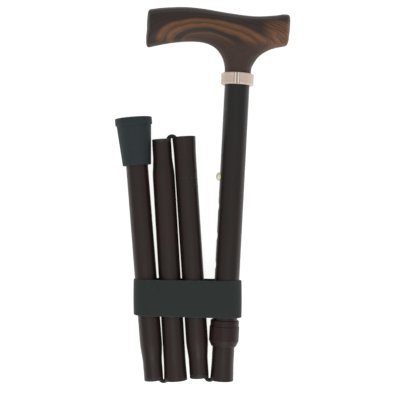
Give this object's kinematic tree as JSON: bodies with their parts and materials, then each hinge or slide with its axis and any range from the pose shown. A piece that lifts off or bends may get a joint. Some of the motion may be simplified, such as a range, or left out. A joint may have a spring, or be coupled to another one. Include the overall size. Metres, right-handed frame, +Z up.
{
  "type": "folding cane",
  "caption": "Folding walking cane with a T-shaped wooden handle, adjustable shaft, corded tube sections, rubber foot and elastic storage band, folded flat.",
  "frame": {"origin": "middle of the folded cane's outline on the table that it lies on", "axes": "+X towards the handle's heel, +Y along the folded cane towards the handle, +Z up from the table"},
  "size_m": [0.1505, 0.3244, 0.0318],
  "materials": {
    "wood": "satin",
    "collar": "satin",
    "tube_upper": "satin",
    "tube": "satin",
    "lock_plastic": "satin",
    "bush_plastic": "matte",
    "nylon": "matte",
    "steel": "satin",
    "brass": "polished",
    "gasket": "matte",
    "ferrule": "matte",
    "band": "matte",
    "cord": "matte"
  },
  "bodies": {
    "handle_section": {"handle": "wood", "handle_collar": "collar", "handle_insert": "nylon", "handle_screw": "steel", "upper_tube": "tube_upper", "lock_sleeve": "lock_plastic"},
    "lock_gasket": {"lock_gasket": "gasket"},
    "lock_ring": {"lock_ring": "lock_plastic"},
    "storage_band": {"storage_band": "band"},
    "inner_section": {"inner_tube": "tube", "glide_bush": "nylon", "button_spring": "steel", "cord_anchor": "nylon", "cord_crimp_top": "steel", "cord_run_1": "cord"},
    "snap_button": {"snap_button": "brass"},
    "fold_link_1": {"cord_loop_1": "cord"},
    "section_2": {"tube_2": "tube", "end_bush_2": "bush_plastic", "cord_run_2": "cord"},
    "fold_link_2": {"cord_loop_2": "cord"},
    "section_3": {"tube_3": "tube", "end_bush_3": "bush_plastic", "cord_run_3": "cord"},
    "fold_link_3": {"cord_loop_3": "cord"},
    "section_4": {"tube_4": "tube", "end_bush_4": "bush_plastic", "cord_run_4": "cord", "foot_anchor": "nylon", "cord_crimp_foot": "steel", "ferrule": "ferrule", "ferrule_washer": "steel"}
  },
  "joints": [
    {"name": "height_adjust", "type": "slide", "parent": "handle_section", "child": "inner_section", "axis": [-0.0523, -0.9986, 0], "range_m": [0, 0.1016], "deforming": ["snap_button"]},
    {"name": "lock_gasket_slide", "type": "slide", "parent": "handle_section", "child": "lock_gasket", "axis": [-0.0523, -0.9986, 0], "range_m": [0, 0.0015]},
    {"name": "lock_ring_turn", "type": "hinge", "parent": "lock_gasket", "child": "lock_ring", "pos_m": [0.01775, -0.12986, 0.0159], "axis": [-0.0523, -0.9986, 0], "range_deg": [0, 360]},
    {"name": "button_press", "type": "slide", "parent": "inner_section", "child": "snap_button", "axis": [0.9986, -0.0523, 0], "range_m": [0, 0.00465], "stiffness_N_per_m": 300, "springref_m": -0.005, "deforming": ["button_spring"]},
    {"name": "band_slide", "type": "slide", "parent": "inner_section", "child": "storage_band", "axis": [-0.0523, -0.9986, 0], "range_m": [0, 0.092]},
    {"name": "plug_1", "type": "slide", "parent": "fold_link_1", "child": "section_2", "axis": [0.0645, -0.9979, 0], "range_m": [0, 0.0255], "deforming": ["cord_run_1"]},
    {"name": "fold_1", "type": "hinge", "parent": "inner_section", "child": "fold_link_1", "pos_m": [0.00675, -0.15832, 0.0159], "axis": [0, 0, 1], "range_deg": [0, 173.3], "deforming": ["cord_loop_1", "storage_band"]},
    {"name": "plug_2", "type": "slide", "parent": "section_2", "child": "fold_link_2", "axis": [0.0645, -0.9979, 0], "range_m": [0, 0.024], "deforming": ["cord_run_2"]},
    {"name": "fold_2", "type": "hinge", "parent": "fold_link_2", "child": "section_3", "pos_m": [-0.02591, 0.0508, 0.0159], "axis": [0, 0, -1], "range_deg": [0, 179.7], "deforming": ["cord_loop_2"]},
    {"name": "plug_3", "type": "slide", "parent": "section_3", "child": "fold_link_3", "axis": [-0.0593, 0.9982, 0], "range_m": [0, 0.0244], "deforming": ["cord_run_3", "cord_run_4"]},
    {"name": "fold_3", "type": "hinge", "parent": "fold_link_3", "child": "section_4", "pos_m": [-0.03248, -0.15926, 0.0159], "axis": [0, 0, 1], "range_deg": [0, 178.9], "deforming": ["cord_loop_3"]}
  ],
  "couplings": [
    {"joint": "lock_gasket_slide", "follows": "lock_ring_turn", "m_per_rad": 0.00023873},
    {"joint": "fold_2", "follows": "fold_1", "ratio": 1.0369},
    {"joint": "fold_3", "follows": "fold_1", "ratio": 1.0323},
    {"joint": "plug_2", "follows": "plug_1", "ratio": 0.94118},
    {"joint": "plug_3", "follows": "plug_1", "ratio": 0.95686}
  ]
}
